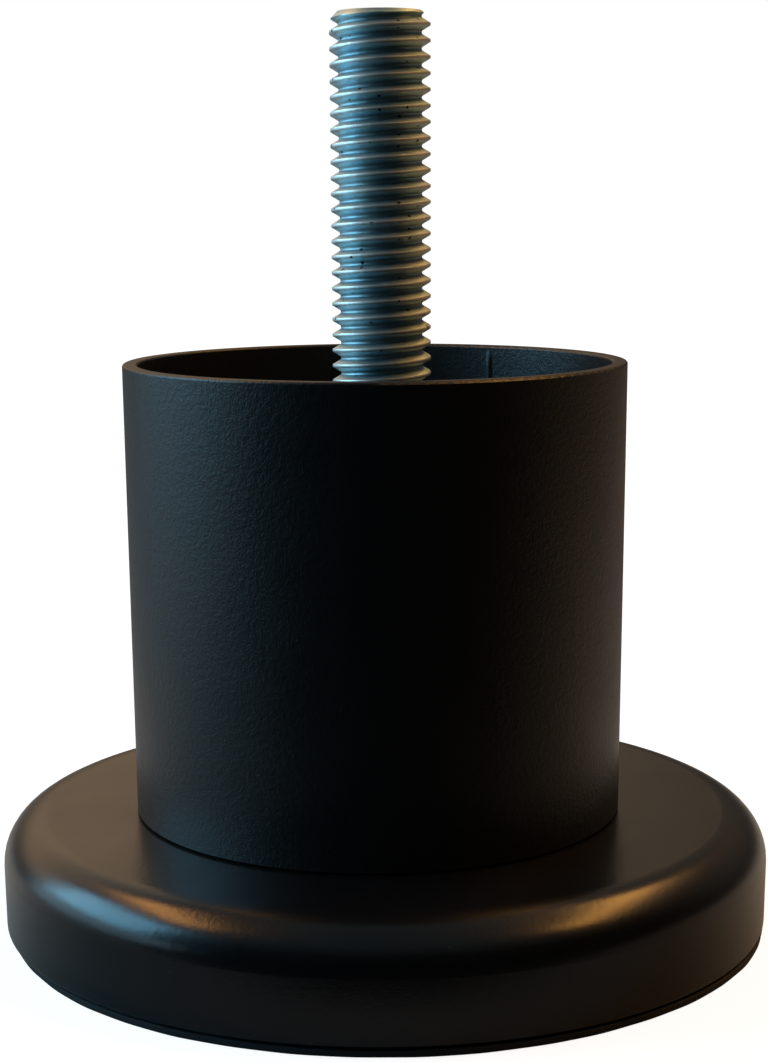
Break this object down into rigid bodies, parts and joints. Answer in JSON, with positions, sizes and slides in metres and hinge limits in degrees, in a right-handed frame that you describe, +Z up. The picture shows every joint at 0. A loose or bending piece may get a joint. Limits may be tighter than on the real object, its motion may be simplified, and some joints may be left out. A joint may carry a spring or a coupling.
{
  "type": "steel furniture leg",
  "caption": "Short round steel furniture leg: a black tube on a wide pressed foot with a rubber pad, and a threaded bolt standing up through the tube to screw into furniture.",
  "frame": {"origin": "on the floor at the centre of the pad's underside, on the bolt's axis", "axes": "+Z up along the bolt, out of the tube; -X is the side towards which the tube is welded a little off centre"},
  "size_m": [0.079, 0.079, 0.0905],
  "materials": {
    "black_coat": "satin black powder coat with a fine grain",
    "zinc": "blue-passivated zinc plating",
    "rubber": "matt black rubber"
  },
  "bodies": {
    "root": {"tube": "black_coat", "foot": "black_coat", "weld": "black_coat", "bolt": "zinc", "nut": "zinc", "washer": "zinc", "pad": "rubber"}
  },
  "joints": []
}
